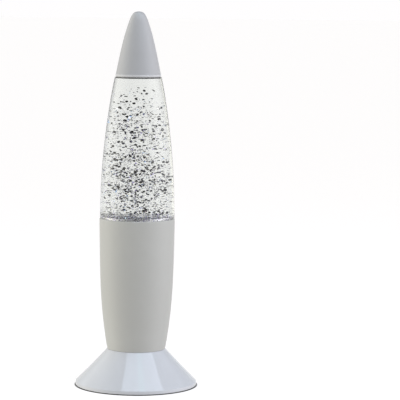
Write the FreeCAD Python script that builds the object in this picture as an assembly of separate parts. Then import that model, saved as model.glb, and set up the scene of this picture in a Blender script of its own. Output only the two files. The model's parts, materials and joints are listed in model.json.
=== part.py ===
import FreeCAD, Part
import math
import os
import random

# Glitter lamp, 330 mm tall: a bullet-shaped liquid bottle between a pointed cap and a flared
# body on a wide conical foot. Millimetres, +Z up, origin on the table under the lamp's axis,
# front towards -Y. The underside holds a slide switch and a hinged battery door.

V = FreeCAD.Vector

# ---------------------------------------------------------------- driving dimensions
HEIGHT = 330.0

# foot
FOOT_LIP_Z = 0.65        # underside of the lip
FOOT_LIP_R = 53.6        # lip: an upright band, then a small round up to the cone
FOOT_LIP_DRAFT = 4.0     # degrees
FOOT_LIP_TOP_Z = 3.1
FOOT_LIP_ROUND = 0.8
FOOT_CONE_START = 45.0   # degrees that the round turns to
FOOT_TABLE = [(8.0, 48.854), (14.0, 42.991), (20.0, 37.245), (26.0, 31.614), (32.22, 25.9)]
FOOT_TOP_Z = 32.5
FOOT_WALL = 2.0
FOOT_DECK = 2.0          # thickness of the disc that carries the body
FOOT_SEAT_R = 50.4       # step that the base plate sits in

# body
BODY_TABLE = [(32.95, 25.668), (36.0, 26.33), (45.0, 27.77), (60.0, 29.67), (80.0, 31.42),
              (100.0, 32.35), (120.0, 32.8), (135.0, 33.06), (147.7, 33.2)]
BODY_WALL = 1.8
BODY_FLOOR_Z = 34.7      # inside
BODY_RIM_Z = 148.6
BODY_RIM_ROUND = 0.9

# bottle
BOTTLE_TABLE = [(148.95, 32.85), (165.0, 32.62), (185.0, 31.85), (205.0, 30.33), (225.0, 28.23),
                (245.0, 25.5), (260.0, 23.05), (272.45, 20.685)]
BOTTLE_WALL = 0.9
BOTTLE_FLOOR_Z = 147.4   # inside
SKIRT_R = 31.2
SKIRT_Z = 142.0
SHOULDER_Z = 272.7
NECK_R = 14.0
NECK_WALL = 1.4
NECK_TOP_Z = 289.5
BED_TOP_Z = 150.6        # settled glitter
LIQUID_TOP_Z = 280.8

# cap
CAP_Z = 273.15
CAP_BEAD_Z = 275.0       # a low bead runs round the bottom edge, up to here
CAP_TABLE = [(275.0, 19.8), (285.0, 17.8), (300.0, 14.55), (312.0, 11.45), (320.0, 8.9),
             (325.0, 6.95), (327.8, 5.3), (329.4, 3.1)]
CAP_WALL = 1.8

# light unit
LEDGE_Z = 140.4          # ribs in the body carry the reflector here
REFLECTOR_TOP_Z = 142.0
BOARD_Z = 121.6          # underside of the board
BOARD_T = 1.6
BOARD_R = 14.5
LED_RING_R = 5.5
BOARD_SCREW_RING_R = 11.5

# base plate
PLATE_Z = 0.2            # underside of its outer ring
PLATE_R = 53.2
PLATE_SPIGOT_R = 50.2
RECESS_R = 42.0
RECESS_Z = 4.2           # underside of its raised middle
PLATE_T = 2.0
FEET_RING_R = 46.2
PAD_R = 3.4
BASE_SCREW_RING_R = 38.0
BODY_SCREW_RING_R = 17.0

# battery bay: three micro cells side by side along Y
CELL_R = 5.2
CELL_L = 44.5
CELL_PITCH = 10.95
CELL_Z = 11.9
BAY_X = 16.6             # inner half width
BAY_Y = 24.75            # inner half length
BAY_WALL_X = 1.5
BAY_WALL_Y = 1.6
BAY_ROOF_Z = 17.4
BAY_ROOF_T = 1.5

# battery door hinge, axis along X
HINGE_Y = 27.5
HINGE_Z = 4.6
HINGE_PIN_R = 1.2
HINGE_BORE_R = 1.25
DOOR_T = 1.8
DOOR_X = 16.6
DOOR_END_Y = -25.3

# slide switch
SWITCH_Y = -35.0
SWITCH_TRAVEL = 3.0
KNOB_X = 4.0
KNOB_Y = 2.6
KNOB_TIP_Z = 2.2

# leads
LEAD_R = 0.75

os.makedirs("parts", exist_ok=True)


# ---------------------------------------------------------------- helpers
def p2(r, z):
    return V(r, 0, z)


def line(a, b):
    return Part.LineSegment(p2(*a), p2(*b)).toShape()


def arc(a, m, b):
    return Part.Arc(p2(*a), p2(*m), p2(*b)).toShape()


def spline(points, start=None, end=None):
    """A smooth curve through (r, z) points, with optional end directions."""
    curve = Part.BSplineCurve()
    pts = [p2(r, z) for r, z in points]
    if start is not None and end is not None:
        curve.interpolate(Points=pts, InitialTangent=p2(*start), FinalTangent=p2(*end))
    else:
        curve.interpolate(Points=pts)
    return curve


def swap(table):
    return [(r, z) for z, r in table]


def offset_points(curve, inward, count):
    """Points beside a profile curve, at the wall's thickness towards the axis."""
    first, last = curve.FirstParameter, curve.LastParameter
    out = []
    for i in range(count):
        t = first + (last - first) * i / (count - 1)
        p, d = curve.value(t), curve.tangent(t)[0]
        if d.z < 0:
            d = d.multiply(-1)
        out.append((p.x - d.z * inward, p.z + d.x * inward))
    return out


def trim(points, low, high):
    """The points between two heights, with one at each height itself."""
    def at(z):
        for (r0, z0), (r1, z1) in zip(points, points[1:]):
            if min(z0, z1) <= z <= max(z0, z1):
                return r0 + (r1 - r0) * (z - z0) / (z1 - z0)
        (r0, z0), (r1, z1) = (points[0], points[1]) if z < points[0][1] else (points[-2], points[-1])
        return r0 + (r1 - r0) * (z - z0) / (z1 - z0)
    inner = [(r, z) for r, z in points if low + 0.4 < z < high - 0.4]
    return [(at(low), low)] + inner + [(at(high), high)]


def revolve(edges):
    wire = Part.Wire(Part.__sortEdges__(edges))
    solid = Part.Face(wire).revolve(V(0, 0, 0), V(0, 0, 1), 360)
    if solid.Volume < 0:
        solid.reverse()
    return solid


def turned(points):
    """A solid of revolution from a closed polygon of (r, z)."""
    pts = list(points) + [points[0]]
    return revolve([line(a, b) for a, b in zip(pts, pts[1:])])


def cyl(r, z0, z1, x=0.0, y=0.0):
    return Part.makeCylinder(r, z1 - z0, V(x, y, z0))


def cyl_x(r, x0, x1, y, z):
    return Part.makeCylinder(r, x1 - x0, V(x0, y, z), V(1, 0, 0))


def block(x0, x1, y0, y1, z0, z1):
    return Part.makeBox(x1 - x0, y1 - y0, z1 - z0, V(x0, y0, z0))


def ring_points(radius, degrees):
    return [(radius * math.cos(math.radians(d)), radius * math.sin(math.radians(d)))
            for d in degrees]


def fuse(first, *others):
    out = first.multiFuse(list(others)) if others else first
    return out.removeSplitter()


def cut(shape, *tools):
    return shape.cut(Part.makeCompound(list(tools)))


def only_solid(shape):
    solids = shape.Solids
    if len(solids) != 1:
        raise RuntimeError("expected one solid, found %d" % len(solids))
    return solids[0]


WRITTEN = []


def write(name, *shapes):
    solids = [s for shape in shapes for s in shape.Solids]
    for s in solids:
        if not s.isValid():
            raise RuntimeError(name + " has an invalid solid")
        if s.Volume <= 0:
            raise RuntimeError(name + " has an inside-out solid")
    shape = solids[0] if len(solids) == 1 else Part.makeCompound(solids)
    shape.exportStep("parts/%s.step" % name)
    WRITTEN.append((name, len(solids), sum(s.Volume for s in solids) / 1000.0))


def screw(head_r, head_h, shank_r, length, tip=0.8):
    """A pan-head screw pointing up, head under z = 0 and shank above it, with a cross slot."""
    head = Part.makeCylinder(head_r, head_h, V(0, 0, -head_h))
    head = head.makeFillet(head_h * 0.45, [e for e in head.Edges
                                           if abs(e.BoundBox.ZMax + head_h) < 1e-6
                                           and abs(e.BoundBox.ZMin + head_h) < 1e-6
                                           and len(e.Vertexes) == 1])
    shank = Part.makeCylinder(shank_r, length - tip, V(0, 0, 0))
    point = Part.makeCone(shank_r, shank_r * 0.35, tip, V(0, 0, length - tip))
    body = fuse(head, shank, point)
    w, l, d = head_r * 0.22, head_r * 1.15, head_h * 0.5
    slot = fuse(block(-l / 2, l / 2, -w / 2, w / 2, -head_h - 1, -head_h + d),
                block(-w / 2, w / 2, -l / 2, l / 2, -head_h - 1, -head_h + d))
    return only_solid(body.cut(slot))


def moved(shape, x=0.0, y=0.0, z=0.0):
    out = shape.copy()
    out.translate(V(x, y, z))
    return out


def round_wire(points, radius, label):
    """A round wire along straight runs joined by tangent arcs."""
    pts = [V(*p) for p in points]
    edges, here, length, tightest = [], pts[0], 0.0, 1e9
    for i in range(1, len(pts) - 1):
        a, b = pts[i] - pts[i - 1], pts[i + 1] - pts[i]
        la, lb = a.Length, b.Length
        ua, ub = V(a).normalize(), V(b).normalize()
        turn = math.acos(max(-1.0, min(1.0, ua.dot(ub))))
        reach = 0.45 * min(la, lb)
        rad = reach / math.tan(turn / 2)
        tightest = min(tightest, rad)
        start, end = pts[i] - ua * reach, pts[i] + ub * reach
        to_centre = (ub - ua).normalize()
        centre = pts[i] + to_centre * (rad / math.cos(turn / 2))
        mid = centre - to_centre * rad
        edges.append(Part.LineSegment(here, start).toShape())
        edges.append(Part.Arc(start, mid, end).toShape())
        length += (start - here).Length + rad * turn
        here = end
    edges.append(Part.LineSegment(here, pts[-1]).toShape())
    length += (pts[-1] - here).Length
    path = Part.Wire(edges)
    section = Part.Wire([Part.Circle(pts[0], pts[1] - pts[0], radius).toShape()])
    solid = path.makePipeShell([section], True, False)
    if solid.Volume < 0:
        solid.reverse()
    solid = only_solid(solid)
    expected = math.pi * radius ** 2 * length
    print("%s: length %.1f, tightest bend %.1f, volume %.4f of expected"
          % (label, length, tightest, solid.Volume / expected))
    return solid


def lead(points):
    return round_wire(points, LEAD_R, "lead")


# ---------------------------------------------------------------- foot
lip_low, lip_high = math.radians(FOOT_LIP_DRAFT), math.radians(FOOT_CONE_START)
lip_z = FOOT_LIP_Z + 0.3
lip_r = FOOT_LIP_R
lip_centre = (lip_r - (FOOT_LIP_TOP_Z - lip_z) * math.tan(lip_low) - FOOT_LIP_ROUND * math.cos(lip_low),
              FOOT_LIP_TOP_Z - FOOT_LIP_ROUND * math.sin(lip_low))


def on_lip(angle):
    return (lip_centre[0] + FOOT_LIP_ROUND * math.cos(angle),
            lip_centre[1] + FOOT_LIP_ROUND * math.sin(angle))


foot_curve = spline([on_lip(lip_high)] + swap(FOOT_TABLE),
                    start=(-math.sin(lip_high), math.cos(lip_high)), end=(-0.909, 1.0))
top_z, foot_top_r = FOOT_TABLE[-1]
deck_z = FOOT_TOP_Z - FOOT_DECK
foot_in_all = offset_points(foot_curve, FOOT_WALL, 21)
foot_mid = offset_points(foot_curve, FOOT_WALL * 0.5, 13)
foot_in = trim(foot_in_all, 4.0, deck_z)
foot = revolve([
    line((FOOT_SEAT_R, FOOT_LIP_Z), (lip_r - 0.3, FOOT_LIP_Z)),
    arc((lip_r - 0.3, FOOT_LIP_Z), (lip_r - 0.088, FOOT_LIP_Z + 0.088), (lip_r, lip_z)),
    line((lip_r, lip_z), on_lip(lip_low)),
    arc(on_lip(lip_low), on_lip((lip_low + lip_high) / 2), on_lip(lip_high)),
    foot_curve.toShape(),
    arc((foot_top_r, top_z), (foot_top_r - 0.273, FOOT_TOP_Z - 0.073), (foot_top_r - 0.606, FOOT_TOP_Z)),
    line((foot_top_r - 0.606, FOOT_TOP_Z), (9.0, FOOT_TOP_Z)),
    line((9.0, FOOT_TOP_Z), (9.0, deck_z)),
    line((9.0, deck_z), foot_in[-1]),
    spline(list(reversed(foot_in))).toShape(),
    line(foot_in[0], (FOOT_SEAT_R, 3.3)),
    line((FOOT_SEAT_R, 3.3), (FOOT_SEAT_R, FOOT_LIP_Z)),
])

# screw towers under the cone, for the base plate's screws
core = turned([(0, 0), (foot_mid[1][0], 0)] + foot_mid[1:] + [(0, foot_mid[-1][1])])
BASE_SCREW_AT = ring_points(BASE_SCREW_RING_R, (45, 135, 225, 315))
TOWER_Z = RECESS_Z + PLATE_T + 2.0 + 0.05
towers = [cyl(3.3, TOWER_Z, 30, x, y).common(core) for x, y in BASE_SCREW_AT]
foot = fuse(foot, *towers)
pilots = [cyl(1.5, TOWER_Z - 1, 15.4, x, y) for x, y in BASE_SCREW_AT]
BODY_SCREW_AT = ring_points(BODY_SCREW_RING_R, (90, 210, 330))
deck_holes = [cyl(1.65, deck_z - 1, FOOT_TOP_Z + 1, x, y) for x, y in BODY_SCREW_AT]
foot = only_solid(cut(foot, *pilots, *deck_holes))
write("foot_shell", foot)

# ---------------------------------------------------------------- body
body_curve = spline(swap(BODY_TABLE), start=(0.24, 1.0), end=(0.0, 1.0))
body_in = trim(offset_points(body_curve, BODY_WALL, 15), BODY_FLOOR_Z, BODY_RIM_Z)
body_z = FOOT_TOP_Z + 0.05
low_z, low_r = BODY_TABLE[0]
rim_r = BODY_TABLE[-1][1]
body = revolve([
    line((0, body_z), (low_r - 0.32, body_z)),
    arc((low_r - 0.32, body_z), (low_r - 0.1, body_z + 0.11), (low_r, low_z)),
    body_curve.toShape(),
    arc((rim_r, BODY_RIM_Z - BODY_RIM_ROUND),
        (rim_r - BODY_RIM_ROUND * 0.293, BODY_RIM_Z - BODY_RIM_ROUND * 0.293),
        (rim_r - BODY_RIM_ROUND, BODY_RIM_Z)),
    line((rim_r - BODY_RIM_ROUND, BODY_RIM_Z), body_in[-1]),
    spline(list(reversed(body_in))).toShape(),
    line(body_in[0], (0, BODY_FLOOR_Z)),
    line((0, BODY_FLOOR_Z), (0, body_z)),
])
body_core = turned([(0, 33.2), (24.9, 33.2)] + [(r + 0.9, z) for r, z in body_in[1:-1]]
                   + [(0, body_in[-2][1])])
spigot = cyl(8.8, FOOT_TOP_Z - 1.7, 34.0)
screw_posts = [cyl(3.3, 33.5, 44.0, x, y) for x, y in BODY_SCREW_AT]
ribs = []
for d in (0, 90, 180, 270):
    rib = block(29.1, 33.0, -1.0, 1.0, 104.0, LEDGE_Z)
    rib.rotate(V(0, 0, 0), V(0, 0, 1), d)
    ribs.append(rib.common(body_core))
body = fuse(body, spigot, *screw_posts, *ribs)
body = cut(body, cyl(7.0, 25.0, 36.0),
           *[cyl(1.5, 30.0, 42.5, x, y) for x, y in BODY_SCREW_AT])
body = only_solid(body)
write("body_shell", body)
write("body_screws", *[moved(screw(2.8, 1.8, 1.45, 11.0), x, y, deck_z) for x, y in BODY_SCREW_AT])

# ---------------------------------------------------------------- bottle
bottle_curve = spline(swap(BOTTLE_TABLE), start=(0.0, 1.0), end=(-0.185, 1.0))
bottle_in_all = offset_points(bottle_curve, BOTTLE_WALL, 17)
bottle_in = trim(bottle_in_all, 150.0, 271.3)
liquid_in = trim(offset_points(bottle_curve, BOTTLE_WALL + 0.05, 17), 150.65, 271.25)
neck_in = NECK_R - NECK_WALL
top_r = BOTTLE_TABLE[-1][1]
b0, b1 = bottle_in[0], bottle_in[-1]
bottle_profile = [
    line((SKIRT_R - 1.0, SKIRT_Z), (SKIRT_R, SKIRT_Z)),
    line((SKIRT_R, SKIRT_Z), (SKIRT_R, 148.7)),
    line((SKIRT_R, 148.7), (32.6, 148.7)),
    arc((32.6, 148.7), (32.777, 148.773), (32.85, 148.95)),
    bottle_curve.toShape(),
    arc((top_r, 272.45), (top_r - 0.073, SHOULDER_Z - 0.073), (top_r - 0.25, SHOULDER_Z)),
    line((top_r - 0.25, SHOULDER_Z), (NECK_R, SHOULDER_Z)),
    line((NECK_R, SHOULDER_Z), (NECK_R, NECK_TOP_Z)),
    line((NECK_R, NECK_TOP_Z), (neck_in, NECK_TOP_Z)),
    line((neck_in, NECK_TOP_Z), (neck_in, 271.8)),
    line((neck_in, 271.8), (b1[0] - 0.5, 271.8)),
    arc((b1[0] - 0.5, 271.8), (b1[0] - 0.13, 271.67), b1),
    spline(list(reversed(bottle_in))).toShape(),
    arc(b0, (b0[0] - 0.176, b0[1] - 0.424), (b0[0] - 0.6, b0[1] - 0.6)),
    line((b0[0] - 0.6, b0[1] - 0.6), (30.3, b0[1] - 0.6)),
    line((30.3, b0[1] - 0.6), (30.3, 148.0)),
    arc((30.3, 148.0), (30.12, 147.58), (29.7, BOTTLE_FLOOR_Z)),
    line((29.7, BOTTLE_FLOOR_Z), (0, BOTTLE_FLOOR_Z)),
    line((0, BOTTLE_FLOOR_Z), (0, BOTTLE_FLOOR_Z - 0.9)),
    line((0, BOTTLE_FLOOR_Z - 0.9), (SKIRT_R - 1.0, BOTTLE_FLOOR_Z - 0.9)),
    line((SKIRT_R - 1.0, BOTTLE_FLOOR_Z - 0.9), (SKIRT_R - 1.0, SKIRT_Z)),
]
write("bottle", only_solid(revolve(bottle_profile)))

stopper = turned([(0, 281.0), (12.2, 281.0), (12.52, 281.6), (12.52, NECK_TOP_Z + 0.02),
                  (NECK_R, NECK_TOP_Z + 0.02), (NECK_R, 290.9), (9.5, 290.9), (9.5, 283.0),
                  (0, 283.0)])
write("bottle_stopper", stopper)

l0, l1 = liquid_in[0], liquid_in[-1]
liquid_profile = [
    line((0, 150.65), l0),
    spline(liquid_in).toShape(),
    arc(l1, (l1[0] - 0.13, 271.62), (l1[0] - 0.5, 271.75)),
    line((l1[0] - 0.5, 271.75), (neck_in - 0.05, 271.75)),
    line((neck_in - 0.05, 271.75), (neck_in - 0.05, LIQUID_TOP_Z)),
    line((neck_in - 0.05, LIQUID_TOP_Z), (0, LIQUID_TOP_Z)),
    line((0, LIQUID_TOP_Z), (0, 150.65)),
]
write("liquid", only_solid(revolve(liquid_profile)))

write("glitter_bed", turned([(0, 147.45), (29.6, 147.45), (30.2, 148.05), (30.2, 149.48),
                             (31.38, 149.48), (31.83, 149.95), (31.83, BED_TOP_Z), (0, BED_TOP_Z)]))

# suspended flakes: thin hexagons at loose random places, denser low down
dice = random.Random(20)
flake_base = Part.makePolygon([V(0.62 * math.cos(math.radians(60 * k)),
                                 0.62 * math.sin(math.radians(60 * k)), -0.05) for k in range(7)])
flake_solid = Part.Face(flake_base).extrude(V(0, 0, 0.1))
flakes, spots = [], []
while len(flakes) < 110:
    z = 152.5 + 108.0 * dice.random() ** 1.7
    limit = min(r for r, zz in [(l[0] - 1.6, l[1]) for l in liquid_in] if abs(zz - z) < 9)
    r, a = limit * math.sqrt(dice.random()), 2 * math.pi * dice.random()
    spot = V(r * math.cos(a), r * math.sin(a), z)
    if any((spot - s).Length < 3.0 for s in spots):
        continue
    spots.append(spot)
    f = flake_solid.copy()
    f.rotate(V(0, 0, 0), V(dice.random() - 0.5, dice.random() - 0.5, 0.3), 180 * dice.random())
    f.translate(spot)
    flakes.append(f)
write("glitter_flakes", *flakes)

# ---------------------------------------------------------------- cap and its seal
cap_curve = spline(swap(CAP_TABLE) + [(0.0, HEIGHT)], start=(-0.19, 1.0), end=(-1.0, 0.0))
cap_in = trim([p for p in offset_points(cap_curve, CAP_WALL, 40) if p[1] < 321.0], CAP_Z, 319.0)
cap_in = [cap_in[0]] + cap_in[1:-1:3] + [cap_in[-1]]
cap_outer = revolve([
    line((0, CAP_Z), (19.7, CAP_Z)),
    arc((19.7, CAP_Z), (19.93, CAP_Z + 0.1), (20.03, CAP_Z + 0.33)),
    line((20.03, CAP_Z + 0.33), (20.03, CAP_BEAD_Z - 0.55)),
    arc((20.03, CAP_BEAD_Z - 0.55), (19.97, CAP_BEAD_Z - 0.25), (19.8, CAP_BEAD_Z)),
    cap_curve.toShape(),
    line((0, HEIGHT), (0, CAP_Z)),
])
cap_hollow = revolve([
    line((0, CAP_Z - 1), (cap_in[0][0], CAP_Z - 1)),
    line((cap_in[0][0], CAP_Z - 1), cap_in[0]),
    spline(cap_in).toShape(),
    line(cap_in[-1], (0, 319.0)),
    line((0, 319.0), (0, CAP_Z - 1)),
])
socket_tube = cyl(15.7, CAP_Z + 0.85, 290.0).cut(cyl(NECK_R + 0.15, CAP_Z, 291.0))
cap = only_solid(fuse(cap_outer.cut(cap_hollow), socket_tube.common(cap_outer)))
write("nose_cap", cap)
write("cap_seal", turned([(NECK_R + 0.1, SHOULDER_Z + 0.03), (19.35, SHOULDER_Z + 0.03),
                          (19.35, CAP_Z - 0.03), (NECK_R + 0.1, CAP_Z - 0.03)]))

# ---------------------------------------------------------------- light unit
reflector = turned([(0, 124.4), (15.05, 124.4), (28.86, LEDGE_Z + 0.02), (SKIRT_R, LEDGE_Z + 0.02),
                    (SKIRT_R, REFLECTOR_TOP_Z - 0.02), (28.4, REFLECTOR_TOP_Z - 0.02),
                    (14.6, 126.0), (0, 126.0)])
BOARD_SCREW_AT = ring_points(BOARD_SCREW_RING_R, (30, 150, 270))
LED_AT = ring_points(LED_RING_R, (90, 210, 330))
board_top = BOARD_Z + BOARD_T
reflector = fuse(reflector, *[cyl(2.6, board_top, 129.5, x, y) for x, y in BOARD_SCREW_AT])
reflector = only_solid(cut(reflector,
                           *[cyl(0.95, 120.0, 128.6, x, y) for x, y in BOARD_SCREW_AT],
                           *[cyl(2.7, 120.0, 127.0, x, y) for x, y in LED_AT]))
write("reflector_cup", reflector)
write("diffuser_disc", cyl(29.9, REFLECTOR_TOP_Z, REFLECTOR_TOP_Z + 1.2))

board = cut(cyl(BOARD_R, BOARD_Z, board_top - 0.02),
            *[cyl(1.1, 120.0, 125.0, x, y) for x, y in BOARD_SCREW_AT])
write("led_board", only_solid(board))
write("board_screws", *[moved(screw(1.9, 1.4, 0.9, 6.4, tip=0.5), x, y, BOARD_Z)
                        for x, y in BOARD_SCREW_AT])


def led(x, y):
    dome = turned([(0, 0), (2.9, 0), (2.9, 1.0), (2.5, 1.0), (2.5, 6.0)]
                  + [(2.5 * math.cos(math.radians(a)), 6.0 + 2.5 * math.sin(math.radians(a)))
                     for a in range(10, 90, 10)] + [(0, 8.5)])
    return moved(dome, x, y, board_top)


for name, (x, y) in zip(("led_red", "led_green", "led_blue"), LED_AT):
    write(name, led(x, y))
chip = cut(block(-2.5, 2.5, -1.95, 1.95, BOARD_Z - 1.5, BOARD_Z - 0.01),
           cyl(0.35, BOARD_Z - 1.6, BOARD_Z - 1.35, -1.9, 1.35))
write("control_chip", only_solid(chip))
write("board_resistors", *[block(x - 1.6, x + 1.6, y - 0.8, y + 0.8, BOARD_Z - 0.6, BOARD_Z - 0.01)
                           for x, y in ((-5.6, 3.2), (0.0, 6.0), (5.6, 3.2))])

# ---------------------------------------------------------------- base plate
plate_top = RECESS_Z + PLATE_T
plate = turned([(0, RECESS_Z), (RECESS_R, RECESS_Z), (RECESS_R, PLATE_Z + 0.3),
                (RECESS_R + 0.3, PLATE_Z), (PLATE_R - 0.1, PLATE_Z), (PLATE_R, PLATE_Z + 0.1),
                (PLATE_R, FOOT_LIP_Z - 0.05), (PLATE_SPIGOT_R, FOOT_LIP_Z - 0.05),
                (PLATE_SPIGOT_R, 3.2), (RECESS_R + 2.3, 3.2), (RECESS_R + 2.3, plate_top),
                (0, plate_top)])
bay = block(-BAY_X - BAY_WALL_X, BAY_X + BAY_WALL_X, -BAY_Y - BAY_WALL_Y, BAY_Y + BAY_WALL_Y,
            plate_top - 0.5, BAY_ROOF_Z + BAY_ROOF_T)
bay = bay.makeFillet(1.2, [e for e in bay.Edges
                           if abs(e.BoundBox.ZMax - e.BoundBox.ZMin) > 5])
hood = block(-BAY_X - BAY_WALL_X, BAY_X + BAY_WALL_X, BAY_Y, HINGE_Y + 3.9, plate_top - 0.5, 8.6)
bosses = [cyl(4.4, plate_top - 0.5, plate_top + 2.0, x, y) for x, y in BASE_SCREW_AT]
ears = []
for side in (1, -1):
    x0, x1 = sorted((side * 16.95, side * 19.5))
    ears.append(fuse(cyl_x(2.3, x0, x1, HINGE_Y, HINGE_Z),
                     block(x0, x1, HINGE_Y - 2.3, HINGE_Y + 2.3, HINGE_Z, RECESS_Z + 0.9)))
plate = fuse(plate, bay, hood, *bosses, *ears)
bay_space = block(-BAY_X, BAY_X, -BAY_Y, BAY_Y, RECESS_Z - 1, BAY_ROOF_Z)
door_space = fuse(block(-16.9, 16.9, DOOR_END_Y - 0.3, HINGE_Y, RECESS_Z - 3, plate_top),
                  block(-16.9, 16.9, HINGE_Y - 2.1, HINGE_Y + 2.4, RECESS_Z - 3, 7.4))
tab_space = block(-6.3, 6.3, -30.1, DOOR_END_Y, RECESS_Z - 1, RECESS_Z + 1.2)
nail_notch = block(-3.2, 3.2, -32.3, -29.0, RECESS_Z - 1, RECESS_Z + 1.2)
slot_x = KNOB_X / 2 + SWITCH_TRAVEL / 2 + 0.3
knob_slot = block(-slot_x, slot_x, SWITCH_Y - 1.6, SWITCH_Y + 1.6, RECESS_Z - 1, plate_top + 1)
FEET_AT = ring_points(FEET_RING_R, (45, 135, 225, 315))
plate = cut(plate, bay_space, door_space, tab_space, nail_notch, knob_slot,
            *[cyl(1.1, RECESS_Z - 1, plate_top + 1, sx * 7.5, SWITCH_Y) for sx in (1, -1)],
            *[cyl(3.15, RECESS_Z - 1, plate_top, x, y) for x, y in BASE_SCREW_AT],
            *[cyl(1.65, RECESS_Z - 1, plate_top + 3, x, y) for x, y in BASE_SCREW_AT],
            *[cyl(PAD_R + 0.1, PLATE_Z - 1, PLATE_Z + 0.8, x, y) for x, y in FEET_AT],
            cyl_x(HINGE_BORE_R, 16.0, 19.5, HINGE_Y, HINGE_Z),
            cyl_x(HINGE_BORE_R, -19.5, -16.0, HINGE_Y, HINGE_Z),
            block(-CELL_PITCH - 1.3, -CELL_PITCH + 1.3, BAY_Y - 1, BAY_Y + 3, 14.0, 14.8),
            block(CELL_PITCH - 1.3, CELL_PITCH + 1.3, -BAY_Y - 3, -BAY_Y + 1, 14.0, 14.8))
dividers = [block(s * CELL_PITCH / 2 - 0.5, s * CELL_PITCH / 2 + 0.5, -22.0, 22.0, 14.6,
                  BAY_ROOF_Z + 0.5) for s in (1, -1)]
plate = only_solid(fuse(plate, *dividers))
write("base_plate", plate)

pad = cyl(PAD_R, 0.0, PLATE_Z + 0.75)
pad = pad.makeFillet(0.3, [e for e in pad.Edges if e.BoundBox.ZMax < 1e-6])
write("rubber_feet", *[moved(pad, x, y) for x, y in FEET_AT])
write("base_screws", *[moved(screw(2.8, 1.7, 1.45, 8.9), x, y, plate_top) for x, y in BASE_SCREW_AT])

# ---------------------------------------------------------------- battery door
door = fuse(block(-DOOR_X, DOOR_X, DOOR_END_Y, HINGE_Y, RECESS_Z, RECESS_Z + DOOR_T),
            cyl_x(1.9, -DOOR_X, DOOR_X, HINGE_Y, HINGE_Z),
            cyl_x(HINGE_PIN_R, DOOR_X - 1, 19.2, HINGE_Y, HINGE_Z),
            cyl_x(HINGE_PIN_R, -19.2, -DOOR_X + 1, HINGE_Y, HINGE_Z),
            block(-6.0, 6.0, -29.8, DOOR_END_Y + 1, RECESS_Z, RECESS_Z + 1.0),
            *[block(s * CELL_PITCH / 2 - 0.6, s * CELL_PITCH / 2 + 0.6, -20.0, 20.0,
                    RECESS_Z + DOOR_T - 0.5, 7.3) for s in (1, -1)],
            *[block(-6.0, 6.0, y - 0.35, y + 0.35, RECESS_Z - 0.4, RECESS_Z + 0.5)
              for y in (-24.0, -22.4, -20.8, -19.2)])
write("battery_door", only_solid(door))

# ---------------------------------------------------------------- cells, springs, contacts
face_y = BAY_Y - 0.4          # inner face of the contact plates


def cell(x, towards):
    """One cell, its nub towards +Y or -Y."""
    body_l = CELL_L - 0.9
    c = turned([(0, 0), (CELL_R - 0.6, 0), (CELL_R, 0.6), (CELL_R, body_l - 0.8),
                (CELL_R - 0.8, body_l), (1.9, body_l), (1.9, CELL_L - 0.2), (1.7, CELL_L),
                (0, CELL_L)])
    c.rotate(V(0, 0, 0), V(1, 0, 0), -90 * towards)
    c.translate(V(x, towards * (face_y - 0.02 - CELL_L), CELL_Z))
    return c


def spring(x, towards):
    """A short coil between a cell's flat end and the contact plate beyond it, at the -towards end."""
    wire_r, wide_r, narrow_r, steps = 0.35, 3.4, 2.2, 26
    gap = 2 * face_y - CELL_L - 0.02
    height = gap - 2 * wire_r - 0.16
    route = []
    for i in range(steps + 1):
        t, a = i / steps, math.radians(45 * i)
        r = wide_r + (narrow_r - wide_r) * t
        rise = height * min(1.0, max(0.0, (t - 0.12) / 0.76))
        route.append((r * math.cos(a), r * math.sin(a), rise))
    coil = round_wire(route, wire_r, "spring")
    coil.rotate(V(0, 0, 0), V(1, 0, 0), -90 * towards)
    coil.translate(V(x, -towards * (face_y - wire_r - 0.08), CELL_Z))
    return coil


write("battery_cell_left", cell(-CELL_PITCH, 1))
write("battery_cell_middle", cell(0, -1))
write("battery_cell_right", cell(CELL_PITCH, 1))
write("battery_springs", spring(-CELL_PITCH, 1), spring(0, -1), spring(CELL_PITCH, 1))


def end_contact(x, towards):
    """A contact plate at the +Y or -Y end with a solder tab through the bay's wall."""
    y0, y1 = sorted((towards * face_y, towards * (BAY_Y - 0.01)))
    ya, yb = sorted((towards * (BAY_Y - 0.2), towards * 28.0))
    yc, yd = sorted((towards * 27.6, towards * 28.0))
    return only_solid(fuse(block(x - 3.75, x + 3.75, y0, y1, 8.0, 16.0),
                           block(x - 1.0, x + 1.0, ya, yb, 14.2, 14.6),
                           block(x - 1.0, x + 1.0, yc, yd, 14.2, 16.5)))


write("contact_positive", end_contact(-CELL_PITCH, 1))
write("contact_negative", end_contact(CELL_PITCH, -1))
write("contact_bridges",
      block(-CELL_PITCH - 3.75, 3.75, -BAY_Y + 0.01, -face_y, 8.0, 16.0),
      block(-3.75, CELL_PITCH + 3.75, face_y, BAY_Y - 0.01, 8.0, 16.0))

# ---------------------------------------------------------------- slide switch
fl = plate_top + 0.05
housing = fuse(block(-9.8, 9.8, SWITCH_Y - 3.1, SWITCH_Y + 3.1, fl, fl + 0.6),
               block(-5.5, 5.5, SWITCH_Y - 2.9, SWITCH_Y + 2.9, fl + 0.3, 12.5))
housing = only_solid(cut(housing,
                         block(-slot_x, slot_x, SWITCH_Y - 1.55, SWITCH_Y + 1.55, fl - 1, fl + 1),
                         block(-4.95, 4.95, SWITCH_Y - 2.1, SWITCH_Y + 2.1, fl + 0.6, 9.95),
                         *[cyl(1.02, fl - 1, fl + 2, sx * 7.5, SWITCH_Y) for sx in (1, -1)]))
write("switch_housing", housing)
write("switch_terminals", *[block(x - 0.7, x + 0.7, SWITCH_Y - 0.25, SWITCH_Y + 0.25, 12.51, 15.6)
                            for x in (-3.0, 0.0, 3.0)])
knob_at = -SWITCH_TRAVEL / 2
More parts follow.
